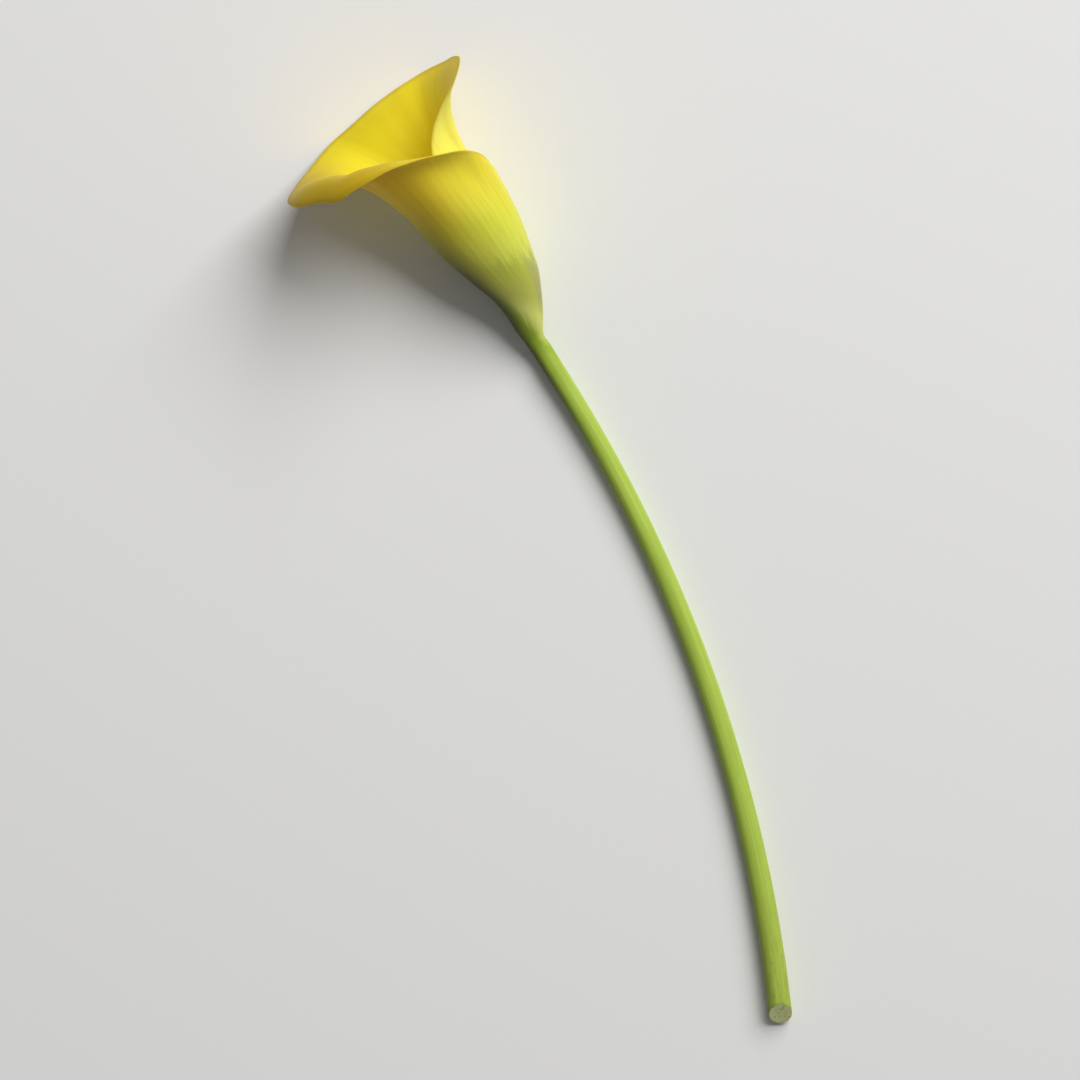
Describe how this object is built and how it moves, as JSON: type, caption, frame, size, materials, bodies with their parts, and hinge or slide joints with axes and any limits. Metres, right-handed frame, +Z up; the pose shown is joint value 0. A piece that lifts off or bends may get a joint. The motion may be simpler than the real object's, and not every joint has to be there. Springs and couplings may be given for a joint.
{
  "type": "calla lily flower",
  "caption": "Picked calla lily flower lying down: a funnel-shaped spathe rolled round a spadix, with a rolled-back lip, on a long cut stem.",
  "frame": {"origin": "on the surface that the flower lies on, under the middle of its bounding box", "axes": "+Z up; +Y along the flower's length, from the cut end of the stem to the bloom; +X to the right seen from above with the bloom at the top"},
  "size_m": [0.1706, 0.3275, 0.0612],
  "materials": {
    "spathe": "waxy golden-yellow petal tissue with fine lengthwise veins, turning green towards its base; satin, slightly translucent",
    "spadix": "tightly packed golden florets, matt and granular",
    "stem": "smooth fleshy yellow-green stalk with fine lengthwise lines; satin"
  },
  "bodies": {
    "root": {"spathe": "spathe", "spadix": "spadix", "stem": "stem"}
  },
  "joints": []
}
